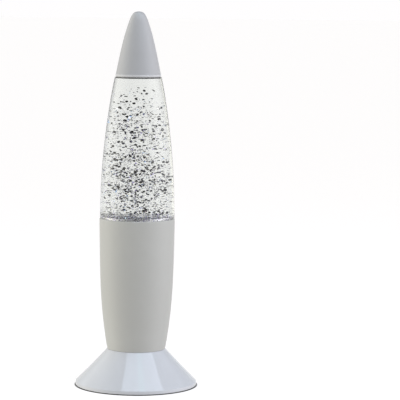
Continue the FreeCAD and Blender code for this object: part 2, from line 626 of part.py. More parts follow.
lever = block(knob_at - KNOB_X / 2, knob_at + KNOB_X / 2, SWITCH_Y - KNOB_Y / 2,
              SWITCH_Y + KNOB_Y / 2, KNOB_TIP_Z, 7.6)
lever = lever.makeFillet(0.35, [e for e in lever.Edges if e.BoundBox.ZMax < KNOB_TIP_Z + 1e-6])
knob = fuse(lever, block(knob_at - 3.2, knob_at + 3.2, SWITCH_Y - 1.8, SWITCH_Y + 1.8, 7.2, 9.6))
knob = cut(knob, *[block(knob_at + dx - 0.2, knob_at + dx + 0.2, SWITCH_Y - 2, SWITCH_Y + 2,
                         KNOB_TIP_Z - 1, KNOB_TIP_Z + 0.4) for dx in (-0.9, 0.0, 0.9)])
write("switch_knob", only_solid(knob))
write("switch_screws", *[moved(screw(1.9, 1.2, 0.95, 3.4, tip=0.5), sx * 7.5, SWITCH_Y, RECESS_Z)
                         for sx in (1, -1)])

# ---------------------------------------------------------------- leads
write("lead_supply", lead([(-CELL_PITCH, 27.8, 16.6), (-CELL_PITCH, 27.8, 20.0),
                           (-9.6, 21.5, 22.8), (-7.4, 8.0, 23.9), (-4.6, -8.0, 23.7),
                           (-2.2, -21.0, 23.2), (-0.4, -30.8, 21.2), (0.0, -35.0, 18.3),
                           (0.0, -35.0, 15.65)]))
write("lead_red", lead([(3.0, -35.0, 15.65), (3.0, -35.0, 18.3), (3.2, -30.8, 21.2),
                        (2.8, -20.5, 24.0), (0.6, -8.6, 26.0), (-1.2, -2.4, 33.5),
                        (-2.6, -0.6, 50.0), (-3.4, 1.6, 74.0), (-5.2, -0.4, 96.0),
                        (-6.5, -4.6, 110.0), (-6.5, -4.6, 121.55)]))
write("lead_black", lead([(CELL_PITCH, -27.8, 16.6), (CELL_PITCH, -27.8, 20.2),
                          (9.4, -19.0, 23.6), (5.2, -8.2, 26.0), (2.6, -2.2, 33.5),
                          (4.2, -0.4, 50.0), (4.0, 2.0, 74.0), (5.0, -0.6, 96.0),
                          (6.5, -4.6, 110.0), (6.5, -4.6, 121.55)]))

total = 0.0
for name, count, volume in WRITTEN:
    total += volume
    print("%-22s %3d solid(s) %9.3f cm3" % (name, count, volume))
print("%d nodes, %.1f cm3" % (len(WRITTEN), total))
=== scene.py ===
import bpy
import json
import math
import random
from mathutils import Matrix, Vector

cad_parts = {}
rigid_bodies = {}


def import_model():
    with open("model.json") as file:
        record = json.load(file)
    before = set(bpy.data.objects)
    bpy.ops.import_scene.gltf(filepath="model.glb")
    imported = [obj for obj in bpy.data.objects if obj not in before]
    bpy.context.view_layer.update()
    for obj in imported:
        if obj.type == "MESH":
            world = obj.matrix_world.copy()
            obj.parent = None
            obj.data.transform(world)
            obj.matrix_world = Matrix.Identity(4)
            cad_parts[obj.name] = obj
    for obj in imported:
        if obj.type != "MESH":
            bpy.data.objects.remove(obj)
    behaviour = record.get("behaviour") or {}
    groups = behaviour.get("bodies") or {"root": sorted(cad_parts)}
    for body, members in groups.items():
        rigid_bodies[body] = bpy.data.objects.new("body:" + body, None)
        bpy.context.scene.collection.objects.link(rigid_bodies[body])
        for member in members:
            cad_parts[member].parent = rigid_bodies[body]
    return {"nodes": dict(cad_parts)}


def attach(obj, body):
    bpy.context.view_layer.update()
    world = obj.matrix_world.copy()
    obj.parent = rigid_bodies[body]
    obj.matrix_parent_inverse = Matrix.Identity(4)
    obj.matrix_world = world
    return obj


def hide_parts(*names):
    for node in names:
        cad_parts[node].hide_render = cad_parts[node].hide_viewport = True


# Glitter lamp: looks, light and camera. Metres, +Z up, front towards -Y.
# The shells, the bottle and the liquid are turned here with fine rings, from the same
# profile tables as the construction, so gloss and refraction run smoothly over them.

MM = 0.001

for left_over in list(bpy.data.objects):
    bpy.data.objects.remove(left_over, do_unlink=True)

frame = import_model()
nodes = frame["nodes"]
bpy.context.view_layer.update()
scene = bpy.context.scene

# ---------------------------------------------------------------- camera
CAMERA_AT = (0.055249, -1.73646, 0.33356)
camera_data = bpy.data.cameras.new("camera")
camera_data.lens = 178.124
camera_data.sensor_width = 36.0
camera_data.clip_start = 0.1
camera_data.clip_end = 300.0
camera = bpy.data.objects.new("camera", camera_data)
scene.collection.objects.link(camera)
camera.matrix_world = (Matrix.Translation(CAMERA_AT)
                       @ Matrix.Rotation(math.radians(90 - 5.5433), 4, "X")
                       @ Matrix.Rotation(math.radians(0.6243), 4, "Z"))
scene.camera = camera

scene.view_settings.view_transform = "Standard"
scene.view_settings.look = "None"
scene.view_settings.exposure = 0.0
scene.view_settings.gamma = 1.0


# ---------------------------------------------------------------- node trees
class Tree:
    """Short names for building a node tree."""

    def __init__(self, tree):
        self.tree = tree
        tree.nodes.clear()

    def node(self, kind, **props):
        n = self.tree.nodes.new(kind)
        for key, value in props.items():
            setattr(n, key, value)
        return n

    def put(self, socket, value):
        if isinstance(value, bpy.types.NodeSocket):
            self.tree.links.new(value, socket)
        else:
            socket.default_value = value

    def math(self, operation, a, b=None):
        n = self.node("ShaderNodeMath", operation=operation)
        self.put(n.inputs[0], a)
        if b is not None:
            self.put(n.inputs[1], b)
        return n.outputs[0]

    def span(self, value, lo, hi, to_lo=0.0, to_hi=1.0, smooth=True):
        n = self.node("ShaderNodeMapRange",
                      interpolation_type="SMOOTHSTEP" if smooth else "LINEAR")
        for socket, v in zip(("Value", "From Min", "From Max", "To Min", "To Max"),
                             (value, lo, hi, to_lo, to_hi)):
            self.put(n.inputs[socket], v)
        return n.outputs["Result"]

    def mix(self, factor, a, b):
        n = self.node("ShaderNodeMix", data_type="RGBA", clamp_factor=True)
        self.put(n.inputs["Factor"], factor)
        self.put(n.inputs[6], a if isinstance(a, bpy.types.NodeSocket) else (*a[:3], 1.0))
        self.put(n.inputs[7], b if isinstance(b, bpy.types.NodeSocket) else (*b[:3], 1.0))
        return n.outputs[2]

    def ramp(self, factor, stops, interpolation="EASE"):
        n = self.node("ShaderNodeValToRGB")
        n.color_ramp.interpolation = interpolation
        elements = n.color_ramp.elements
        while len(elements) > 1:
            elements.remove(elements[-1])
        elements[0].position, elements[0].color = stops[0][0], (*stops[0][1], 1.0)
        for position, colour in stops[1:]:
            e = elements.new(position)
            e.color = (*colour, 1.0)
        self.put(n.inputs["Fac"], factor)
        return n.outputs["Color"]

    def place(self):
        return self.node("ShaderNodeTexCoord").outputs["Object"]

    def noise(self, scale, detail=2.0, where=None, roughness=0.5):
        n = self.node("ShaderNodeTexNoise")
        self.put(n.inputs["Vector"], where if where is not None else self.place())
        n.inputs["Scale"].default_value = scale
        n.inputs["Detail"].default_value = detail
        n.inputs["Roughness"].default_value = roughness
        return n.outputs["Fac"]

    def bump(self, height, distance, strength=1.0, normal=None):
        n = self.node("ShaderNodeBump")
        n.inputs["Strength"].default_value = strength
        n.inputs["Distance"].default_value = distance
        self.put(n.inputs["Height"], height)
        if normal is not None:
            self.put(n.inputs["Normal"], normal)
        return n.outputs["Normal"]

    def principled(self, **values):
        n = self.node("ShaderNodeBsdfPrincipled")
        for key, value in values.items():
            socket = n.inputs[key.replace("_", " ")]
            if isinstance(value, (tuple, list)) and len(value) == 3 and socket.type == "RGBA":
                value = (*value, 1.0)
            self.put(socket, value)
        out = self.node("ShaderNodeOutputMaterial")
        self.tree.links.new(n.outputs[0], out.inputs["Surface"])
        return n


def material(name):
    m = bpy.data.materials.new(name)
    m.use_nodes = True
    return m, Tree(m.node_tree)


# ---------------------------------------------------------------- world light
# Two broad soft boxes stand left and right of the lamp, a little behind it, over a pale sweep.
# Radiance by elevation, at these degrees from the front (+ is to the right).
LIGHT_SCALE = 8.0
AZIMUTHS = (-180, -157.5, -135, -112.5, -90, -67.5, -45, -22.5, 0, 22.5, 45, 67.5, 90, 112.5, 135, 157.5, 180)
LIGHT = {
    -62: (0.10,) * 17,
    -30: (0.55, 0.60, 0.80, 1.55, 1.90, 1.65, 1.25, 0.84, 0.70, 0.85, 1.10, 1.25, 1.05, 0.50, 0.40, 0.50, 0.55),
    -15: (0.86, 0.86, 0.80, 1.55, 2.00, 1.50, 0.95, 0.65, 0.60, 0.74, 1.03, 1.45, 1.50, 1.00, 0.80, 0.82, 0.86),
    5: (0.86, 0.86, 0.82, 1.85, 2.05, 1.33, 0.65, 0.46, 0.48, 0.60, 0.95, 1.80, 2.15, 1.35, 0.80, 0.82, 0.86),
    24: (0.30, 0.60, 1.60, 1.80, 1.35, 1.02, 0.12, 0.12, 0.32, 0.42, 0.88, 1.80, 1.98, 1.30, 0.25, 0.20, 0.30),
    48: (0.25, 0.50, 0.95, 1.20, 1.15, 0.88, 0.62, 0.55, 0.84, 0.98, 0.90, 0.78, 0.60, 0.40, 0.25, 0.20, 0.25),
    70: (0.55,) * 17,
}
WARM, PLAIN, COOL = (1.02, 1.0, 0.92), (1.0, 1.0, 0.985), (1.0, 0.99, 1.01)
TINTS = (PLAIN, PLAIN, PLAIN, WARM, WARM, WARM, PLAIN, PLAIN, PLAIN, PLAIN, COOL, COOL, COOL, COOL, PLAIN, PLAIN, PLAIN)

world = bpy.data.worlds.new("studio")
scene.world = world
world.use_nodes = True
t = Tree(world.node_tree)
split = t.node("ShaderNodeSeparateXYZ")
t.put(split.inputs[0], t.node("ShaderNodeTexCoord").outputs["Generated"])
dx, dy, dz = split.outputs
turn = t.math("ADD", t.math("DIVIDE", t.math("ARCTAN2", dx, t.math("MULTIPLY", dy, -1.0)),
                            2 * math.pi), 0.5)
rise = t.math("MULTIPLY", t.math("ARCSINE", dz), 180.0 / math.pi)
colour, below = None, None
for height, values in LIGHT.items():
    band = t.ramp(turn, [(d / 360.0 + 0.5, tuple(c * v / LIGHT_SCALE for c in tint))
                         for d, v, tint in zip(AZIMUTHS, values, TINTS)], "LINEAR")
    colour = band if colour is None else t.mix(t.span(rise, below, height, smooth=False), colour, band)
    below = height
studio = t.node("ShaderNodeBackground")
t.put(studio.inputs["Color"], colour)
studio.inputs["Strength"].default_value = LIGHT_SCALE
backdrop = t.node("ShaderNodeBackground")
backdrop.inputs["Color"].default_value = (1.0, 0.99, 0.995, 1.0)
backdrop.inputs["Strength"].default_value = 1.0
which = t.node("ShaderNodeMixShader")
t.put(which.inputs[0], t.node("ShaderNodeLightPath").outputs["Is Camera Ray"])
t.put(which.inputs[1], studio.outputs[0])
t.put(which.inputs[2], backdrop.outputs[0])
out = t.node("ShaderNodeOutputWorld")
t.put(out.inputs["Surface"], which.outputs[0])


# ---------------------------------------------------------------- floor and soft light
def flat(name, corners, height):
    me = bpy.data.meshes.new(name)
    me.from_pydata([(x, y, height) for x, y in corners], [], [list(range(len(corners)))])
    o = bpy.data.objects.new(name, me)
    scene.collection.objects.link(o)
    return o


floor = flat("floor", [(-60, -60), (60, -60), (60, 60), (-60, 60)], 0.0)
m, t = material("floor_pale")
pale = t.node("ShaderNodeBsdfDiffuse")
lift = t.node("ShaderNodeEmission")
lift.inputs["Color"].default_value = (1.0, 0.99, 0.995, 1.0)
# painted contact shadow: within about 54 to 55 mm of the lamp's axis the floor's glow and diffuse colour fall to dark,
# a painted shadow under and around the foot
apart = t.node("ShaderNodeVectorMath", operation="LENGTH")
t.put(apart.inputs[0], t.place())
outside_painted_shadow = t.span(apart.outputs["Value"], 0.0536, 0.0553)
t.put(lift.inputs["Strength"], t.math("MULTIPLY", outside_painted_shadow, 0.66))
t.put(pale.inputs["Color"], t.mix(outside_painted_shadow, (0.12, 0.115, 0.11), (0.45, 0.447, 0.45)))
both = t.node("ShaderNodeAddShader")
t.put(both.inputs[0], pale.outputs[0])
t.put(both.inputs[1], lift.outputs[0])
clear = t.node("ShaderNodeBsdfTransparent")
side = t.node("ShaderNodeMixShader")
t.put(side.inputs[0], t.node("ShaderNodeNewGeometry").outputs["Backfacing"])
t.put(side.inputs[1], both.outputs[0])
t.put(side.inputs[2], clear.outputs[0])
t.put(t.node("ShaderNodeOutputMaterial").inputs["Surface"], side.outputs[0])
floor.data.materials.append(m)
floor.visible_diffuse = floor.visible_glossy = False
floor.visible_transmission = floor.visible_shadow = False

PANEL_Z = 1.2
panel = flat("overhead_panel", [(-0.52, -0.60), (0.92, -0.60), (0.92, 0.145), (0.831, 0.090), (0.788, 0.057),
                                (0.742, 0.030), (0.686, 0.008), (-0.348, -0.229), (-0.382, -0.245),
                                (-0.434, -0.253), (-0.52, -0.265)], PANEL_Z)
strip = flat("overhead_strip", [(0.078, -0.52), (0.228, -0.52), (0.255, -0.08), (0.083, -0.08)],
             PANEL_Z - 0.004)
for o, tint, power in ((panel, (0.83, 0.93, 1.06), 2.95), (strip, (0.76, 1.02, 1.10), 3.25)):
    m, t = material(o.name)
    glow = t.node("ShaderNodeEmission")
    glow.inputs["Color"].default_value = (*tint, 1.0)
    glow.inputs["Strength"].default_value = power
    t.put(t.node("ShaderNodeOutputMaterial").inputs["Surface"], glow.outputs[0])
    o.data.materials.append(m)
    o.visible_camera = False


# ---------------------------------------------------------------- materials
def moulded(name, colour, rough, grain=0.00035, grain_depth=0.000004, wave=0.000006, spread=0.03,
            warm=(1.0, 1.0, 1.0), edge=None, **extra):
    """Moulded plastic: a fine tool texture, faint flow waves, and slightly uneven colour and gloss.
    edge is a height and a lighter colour painted on the rim below it, a painted highlight for the light that rim
    catches."""
    m, t = material(name)
    here = t.place()
    broad = t.noise(14.0, 3.0, here)
    cloud = t.noise(90.0, 4.0, here, 0.6)
    fine = t.noise(1.0 / grain, 2.0, here)
    low = tuple(c * (1.0 - spread) for c in colour)
    high = tuple(c * (1.0 + spread) * w for c, w in zip(colour, warm))
    tone = t.mix(t.span(t.math("MULTIPLY", t.math("ADD", broad, cloud), 0.5), 0.36, 0.64), low, high)
    if edge is not None:
        apart = t.node("ShaderNodeSeparateXYZ")
        t.put(apart.inputs[0], here)
        # painted highlight: below the height edge[0] the colour turns to the lighter rim colour edge[1]
        tone = t.mix(t.span(apart.outputs[2], edge[0] - 0.00006, edge[0] + 0.00006), edge[1], tone)
    gloss = t.span(cloud, 0.3, 0.7, rough * 0.9, rough * 1.12)
    normal = t.bump(fine, grain_depth, normal=t.bump(broad, wave * 10))
    t.principled(Base_Color=tone, Roughness=gloss, Normal=normal, **extra)
    return m


def metal(name, colour, rough, brushed=None, scale=900.0):
    """Bare or plated metal, with drawing lines along one axis."""
    m, t = material(name)
    here = t.place()
    if brushed is not None:
        stretch = t.node("ShaderNodeMapping", vector_type="POINT")
        stretch.inputs["Scale"].default_value = brushed
        t.put(stretch.inputs["Vector"], here)
        lines = t.noise(scale, 2.0, stretch.outputs[0])
    else:
        lines = t.noise(scale, 3.0, here)
    stain = t.noise(120.0, 3.0, here)
    tone = t.mix(t.span(stain, 0.35, 0.7), tuple(c * 0.86 for c in colour), colour)
    t.principled(Base_Color=tone, Metallic=1.0, Roughness=t.span(lines, 0.3, 0.7, rough * 0.8, rough * 1.3),
                 Normal=t.bump(lines, 0.000004))
    return m


M = {}
M["foot_white"] = moulded("foot_white", (0.60, 0.615, 0.66), 0.03, grain=0.0011,
                          grain_depth=0.00000025, wave=0.000002, spread=0.012, IOR=1.52)
M["shell_grey"] = moulded("shell_grey", (0.49, 0.49, 0.472), 0.36, spread=0.012, IOR=1.5)
# the cap's rim below 275 mm is painted lighter, a painted highlight for the light it catches
M["cap_grey"] = moulded("cap_grey", (0.43, 0.43, 0.445), 0.34, spread=0.012, edge=(0.27501, (0.60, 0.60, 0.615)),
                        IOR=1.5)
M["plate_black"] = moulded("plate_black", (0.022, 0.022, 0.024), 0.42, grain=0.0003,
                           grain_depth=0.00001, spread=0.15)
M["pad_black"] = moulded("pad_black", (0.016, 0.016, 0.016), 0.7, grain=0.0002, grain_depth=0.00001,
                         spread=0.2)
M["knob_black"] = moulded("knob_black", (0.018, 0.018, 0.019), 0.35, grain=0.00025, spread=0.1)
M["seal_grey"] = moulded("seal_grey", (0.50, 0.50, 0.51), 0.5, grain=0.0002, grain_depth=0.00001,
                          spread=0.2)
M["stopper_white"] = moulded("stopper_white", (0.72, 0.72, 0.70), 0.4)
M["reflector_white"] = moulded("reflector_white", (0.80, 0.80, 0.78), 0.2, spread=0.02)
M["diffuser_milky"] = moulded("diffuser_milky", (0.82, 0.82, 0.80), 0.3, spread=0.02,
                              Subsurface_Weight=0.3, Subsurface_Scale=0.002)
M["chip_black"] = moulded("chip_black", (0.02, 0.02, 0.02), 0.55, grain=0.0001, spread=0.15)
M["lead_red"] = moulded("lead_red", (0.42, 0.018, 0.012), 0.38, spread=0.08)
M["lead_black"] = moulded("lead_black", (0.018, 0.018, 0.018), 0.38, spread=0.1)
M["screw_zinc"] = metal("screw_zinc", (0.60, 0.60, 0.61), 0.28)
M["spring_steel"] = metal("spring_steel", (0.62, 0.62, 0.60), 0.2)
M["contact_nickel"] = metal("contact_nickel", (0.64, 0.61, 0.55), 0.25, brushed=(1, 14, 14))
M["switch_metal"] = metal("switch_metal", (0.58, 0.58, 0.58), 0.3, brushed=(14, 1, 14))

# circuit board: solder mask over faint copper tracks
m, t = material("board_green")
here = t.place()
squares = t.node("ShaderNodeTexBrick")
t.put(squares.inputs["Vector"], here)
squares.inputs["Scale"].default_value = 160.0
squares.inputs["Mortar Size"].default_value = 0.06
squares.inputs["Color1"].default_value = (0.010, 0.095, 0.040, 1)
squares.inputs["Color2"].default_value = (0.012, 0.105, 0.045, 1)
squares.inputs["Mortar"].default_value = (0.018, 0.15, 0.060, 1)
t.principled(Base_Color=squares.outputs["Color"], Roughness=t.span(t.noise(400.0, 2.0, here), 0.3, 0.7, 0.18, 0.3),
             Normal=t.bump(squares.outputs["Fac"], 0.00003))
M["board_green"] = m

m, t = material("resistor_tan")
here = t.place()
sand = t.noise(2500.0, 3.0, here)
t.principled(Base_Color=t.mix(sand, (0.05, 0.05, 0.055), (0.11, 0.11, 0.12)), Roughness=0.45,
             Normal=t.bump(sand, 0.00001))
M["resistor_tan"] = m


def led_lens(name, colour):
    m, t = material(name)
    t.principled(Base_Color=colour, Roughness=0.05, IOR=1.52, Transmission_Weight=0.85,
                 Normal=t.bump(t.noise(700.0), 0.000002))
    return m


def cell_wrap(name, y_positive):
    """A micro cell: plain blue-grey sleeve, a pale band at the positive end, bare steel ends."""
    m, t = material(name)
    here = t.place()
    split = t.node("ShaderNodeSeparateXYZ")
    t.put(split.inputs[0], here)
    y = split.outputs[1]
    sign = 1.0 if y_positive else -1.0
    along = t.math("MULTIPLY", y, sign)
    band = t.span(along, 0.0086, 0.0090)
    far = t.math("ABSOLUTE", y)
    bare = t.span(far, 0.02155, 0.02175)
    wear = t.noise(220.0, 4.0, here, 0.65)
    sleeve = t.mix(t.span(wear, 0.35, 0.7), (0.17, 0.23, 0.30), (0.22, 0.28, 0.35))
    pale = t.mix(t.span(wear, 0.35, 0.7), (0.58, 0.60, 0.62), (0.66, 0.68, 0.70))
    steel = (0.62, 0.62, 0.60)
    tone = t.mix(bare, t.mix(band, sleeve, pale), steel)
    t.principled(Base_Color=tone, Metallic=bare,
                 Roughness=t.span(wear, 0.3, 0.7, 0.18, 0.32), Normal=t.bump(wear, 0.00001))
    return m


# clear plastic and liquid are plain glass-like shaders, with every value on its own socket
def clear_solid(name, colour, ior, rough=0.0):
    m, t = material(name)
    t.principled(Base_Color=colour, Roughness=rough, IOR=ior, Transmission_Weight=1.0)
    return m


# The liquid wets the bottle's inside, so the light bends once there, by the ratio of the two
# indices, and the liquid's own skin, a hair inside the wall, only tints it.
PLASTIC, WATER = 1.49, 1.333
M["clear_bottle"] = clear_solid("clear_bottle", (0.985, 0.99, 0.985), PLASTIC)
M["wet_wall"] = clear_solid("wet_wall", (0.985, 0.99, 0.985), round(PLASTIC / WATER, 4))
M["liquid_clear"] = clear_solid("liquid_clear", (0.985, 0.99, 0.99), 1.0)


def foil(name, colour, rough, metallic=1.0):
    """Metallised flake: thin bright foil with faint creases."""
    m, t = material(name)
    here = t.place()
    crease = t.noise(1500.0, 2.0, here)
    tone = t.mix(t.span(crease, 0.3, 0.7), tuple(c * 0.9 for c in colour), colour)
    t.principled(Base_Color=tone, Metallic=metallic, Roughness=rough, Normal=t.bump(crease, 0.00002))
    return m


# ---------------------------------------------------------------- turned pieces
def clamped_spline(table, start, end, count):
    """Cubic spline r(z) through (z, r) points with given end slopes dr/dz, as (r, z) points."""
    z = [p[0] for p in table]
    r = [p[1] for p in table]
    n = len(z)
    h = [z[i + 1] - z[i] for i in range(n - 1)]
    a = [[0.0] * (n + 1) for _ in range(n)]
    a[0][0], a[0][1], a[0][n] = 2 * h[0], h[0], 6 * ((r[1] - r[0]) / h[0] - start)
    for i in range(1, n - 1):
        a[i][i - 1], a[i][i], a[i][i + 1] = h[i - 1], 2 * (h[i - 1] + h[i]), h[i]
        a[i][n] = 6 * ((r[i + 1] - r[i]) / h[i] - (r[i] - r[i - 1]) / h[i - 1])
    a[n - 1][n - 2], a[n - 1][n - 1] = h[-1], 2 * h[-1]
    a[n - 1][n] = 6 * (end - (r[-1] - r[-2]) / h[-1])
    for i in range(1, n):
        k = a[i][i - 1] / a[i - 1][i - 1]
        a[i][i] -= k * a[i - 1][i]
        a[i][n] -= k * a[i - 1][n]
    m2 = [0.0] * n
    m2[-1] = a[-1][n] / a[-1][n - 1]
    for i in range(n - 2, -1, -1):
        m2[i] = (a[i][n] - a[i][i + 1] * m2[i + 1]) / a[i][i]
    out = []
    for k in range(count + 1):
        x = z[0] + (z[-1] - z[0]) * k / count
        i = max(j for j in range(n - 1) if z[j] <= x + 1e-9)
        u, v = z[i + 1] - x, x - z[i]
        out.append(((m2[i] * u ** 3 + m2[i + 1] * v ** 3) / (6 * h[i])
                    + (r[i] / h[i] - m2[i] * h[i] / 6) * u
                    + (r[i + 1] / h[i] - m2[i + 1] * h[i] / 6) * v, x))
    return out


def inner(points, gap):
    """Points beside a profile that runs upwards, towards the axis."""
    out = []
    for i, (r, z) in enumerate(points):
        a, b = points[max(0, i - 1)], points[min(len(points) - 1, i + 1)]
        dr, dz = b[0] - a[0], b[1] - a[1]
        length = math.hypot(dr, dz)
        out.append((r - dz / length * gap, z + dr / length * gap))
    return out


def between(points, low, high):
    """The part of a rising profile between two heights, cut exactly at both."""
    def at(z):
        for (r0, z0), (r1, z1) in zip(points, points[1:]):
            if z0 <= z <= z1:
                return r0 + (r1 - r0) * (z - z0) / (z1 - z0)
        (r0, z0), (r1, z1) = (points[0], points[1]) if z < points[0][1] else (points[-2], points[-1])
        return r0 + (r1 - r0) * (z - z0) / (z1 - z0)
    return [(at(low), low)] + [p for p in points if low + 0.05 < p[1] < high - 0.05] + [(at(high), high)]


def arc(centre, radius, start, end, count=8):
    """Points of a circular arc, angles in degrees from +r towards +z, both ends included."""
    return [(centre[0] + radius * math.cos(math.radians(start + (end - start) * k / count)),
             centre[1] + radius * math.sin(math.radians(start + (end - start) * k / count)))
            for k in range(count + 1)]


def three_point(a, m, b, count=8):
    """Points of the circular arc from a through m to b, both ends included."""
    ax, ay, bx, by, cx, cy = *a, *m, *b
    d = 2 * (ax * (by - cy) + bx * (cy - ay) + cx * (ay - by))
    ux = ((ax ** 2 + ay ** 2) * (by - cy) + (bx ** 2 + by ** 2) * (cy - ay) + (cx ** 2 + cy ** 2) * (ay - by)) / d
    uy = ((ax ** 2 + ay ** 2) * (cx - bx) + (bx ** 2 + by ** 2) * (ax - cx) + (cx ** 2 + cy ** 2) * (bx - ax)) / d
    rad = math.hypot(ax - ux, ay - uy)
    s, e = math.degrees(math.atan2(ay - uy, ax - ux)), math.degrees(math.atan2(cy - uy, cx - ux))
    mid = math.degrees(math.atan2(by - uy, bx - ux))
    while mid < s: mid += 360
    while e < s: e += 360
    if mid > e:
        e -= 360
    return arc((ux, uy), rad, s, e, count)


def joined(*runs):
    out = []
    for run in runs:
        for p in run:
            if not out or math.hypot(p[0] - out[-1][0], p[1] - out[-1][1]) > 1e-4:
                out.append(p)
    return out


def lathe(name, profiles, segments=256, sharp_angle=28.0):
    """Closed solids of revolution from (r, z) outlines in millimetres. An outline either begins
    and ends on the axis, or is a closed loop away from it."""
    verts, faces, sharp = [], [], []
    for points in profiles:
        points = list(points)
        on_axis = points[0][0] < 1e-6 and points[-1][0] < 1e-6
        if not on_axis and math.hypot(points[0][0] - points[-1][0], points[0][1] - points[-1][1]) < 1e-4:
            points.pop()
        count = len(points)
        area = sum(points[i][0] * points[(i + 1) % count][1] - points[(i + 1) % count][0] * points[i][1]
                   for i in range(count))
        if area < 0:
            points.reverse()
        rings = []
        for r, z in points:
            if r < 1e-6:
                rings.append([len(verts)])
                verts.append((0.0, 0.0, z * MM))
            else:
                rings.append(list(range(len(verts), len(verts) + segments)))
                verts.extend((r * MM * math.cos(2 * math.pi * k / segments),
                              r * MM * math.sin(2 * math.pi * k / segments), z * MM)
                             for k in range(segments))
        for i in range(count if not on_axis else count - 1):
            a, b = rings[i], rings[(i + 1) % count]
            for k in range(segments):
                j = (k + 1) % segments
                if len(a) == 1:
                    faces.append((a[0], b[j], b[k]))
                elif len(b) == 1:
                    faces.append((a[k], a[j], b[0]))
                else:
                    faces.append((a[k], a[j], b[j], b[k]))
        for i in range(count):
            if len(rings[i]) == 1:
                continue
            p, q, s = points[i - 1], points[i], points[(i + 1) % count]
            one = math.atan2(q[1] - p[1], q[0] - p[0])
            two = math.atan2(s[1] - q[1], s[0] - q[0])
            bend = abs(math.degrees((two - one + math.pi) % (2 * math.pi) - math.pi))
            if bend > sharp_angle:
                sharp.append(rings[i])
    me = bpy.data.meshes.new(name)
    me.from_pydata(verts, [], faces)
    me.update()
    me.shade_smooth()
    hard = set()
    for r in sharp:
        hard.update((min(r[k], r[(k + 1) % len(r)]), max(r[k], r[(k + 1) % len(r)]))
                    for k in range(len(r)))
    marks = me.attributes.new("sharp_edge", "BOOLEAN", "EDGE")
    marks.data.foreach_set("value", [tuple(sorted(e.vertices)) in hard for e in me.edges])
    o = bpy.data.objects.new(name, me)
    scene.collection.objects.link(o)
    return o


def stands_for(o, body, slot, mat, *replaced):
    o.data.materials.append(mat)
    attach(o, body)
    if replaced:
        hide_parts(*replaced)


# foot: lip, cone and top, 2 mm wall, seat for the base plate
FOOT_TABLE = [(8.0, 48.854), (14.0, 42.991), (20.0, 37.245), (26.0, 31.614), (32.22, 25.9)]
lip_low, lip_high = 4.0, 45.0
lip_centre = (53.6 - 2.15 * math.tan(math.radians(lip_low)) - 0.8 * math.cos(math.radians(lip_low)),
              3.1 - 0.8 * math.sin(math.radians(lip_low)))
lip = arc(lip_centre, 0.8, lip_low, lip_high, 10)
cone = clamped_spline([(lip[-1][1], lip[-1][0])] + FOOT_TABLE, -math.tan(math.radians(lip_high)), -0.909, 60)
foot_inside = between(inner(cone, 2.0), 4.0, 30.5)
foot = lathe("foot_turned", [joined(
    [(50.4, 0.65), (53.3, 0.65)], arc((53.3, 0.95), 0.3, -90, 0, 6), lip, cone,
    three_point((25.9, 32.22), (25.627, 32.427), (25.294, 32.5), 6), [(9.0, 32.5), (9.0, 30.5)],
    list(reversed(foot_inside)), [(50.4, 3.3)])])
stands_for(foot, "lamp", "foot_white", M["foot_white"], "foot_shell")

# body
BODY_TABLE = [(32.95, 25.668), (36.0, 26.33), (45.0, 27.77), (60.0, 29.67), (80.0, 31.42),
              (100.0, 32.35), (120.0, 32.8), (135.0, 33.06), (147.7, 33.2)]
body_side = clamped_spline(BODY_TABLE, 0.24, 0.0, 90)
body_inside = between(inner(body_side, 1.8), 34.7, 148.6)
body = lathe("body_turned", [joined(
    [(0, 32.55), (25.348, 32.55)], three_point((25.348, 32.55), (25.568, 32.66), (25.668, 32.95), 6),
    body_side, arc((32.3, 147.7), 0.9, 0, 90, 10), list(reversed(body_inside)), [(0, 34.7)])])
stands_for(body, "lamp", "shell_grey", M["shell_grey"], "body_shell")

# cap, with the tube that grips the bottle's neck
CAP_TABLE = [(275.0, 19.8), (285.0, 17.8), (300.0, 14.55), (312.0, 11.45), (320.0, 8.9),
             (325.0, 6.95), (327.8, 5.3)]
cap_side = clamped_spline(CAP_TABLE, -0.19, -0.72, 80)
tip_r, tip_z = cap_side[-1]


def tip_curve(count=22):
    """From the end of the cap's side to the apex, round at the top, as a cubic in the arc's parameter."""
    p0, p3 = (tip_r, tip_z), (0.0, 330.0)
    p1 = (tip_r - 0.72 * 1.35, tip_z + 1.35)
    p2 = (2.7, 330.0)
    out = []
    for k in range(count + 1):
        s = k / count
        w = ((1 - s) ** 3, 3 * s * (1 - s) ** 2, 3 * s * s * (1 - s), s ** 3)
        out.append(tuple(sum(c * p[i] for c, p in zip(w, (p0, p1, p2, p3))) for i in (0, 1)))
    return out


cap_inside = between(inner(cap_side, 1.8), 273.15, 319.0)
cap = lathe("cap_turned", [
    joined([(0.0, 319.0)], list(reversed(cap_inside)), [(19.7, 273.15)],
           three_point((19.7, 273.15), (19.93, 273.25), (20.03, 273.48), 5),
           three_point((20.03, 274.45), (19.97, 274.75), (19.8, 275.0), 6), cap_side, tip_curve()),
    [(14.15, 274.0), (15.7, 274.0), (15.7, 290.0), (14.15, 290.0)]])
stands_for(cap, "lamp", "cap_grey", M["cap_grey"], "nose_cap")

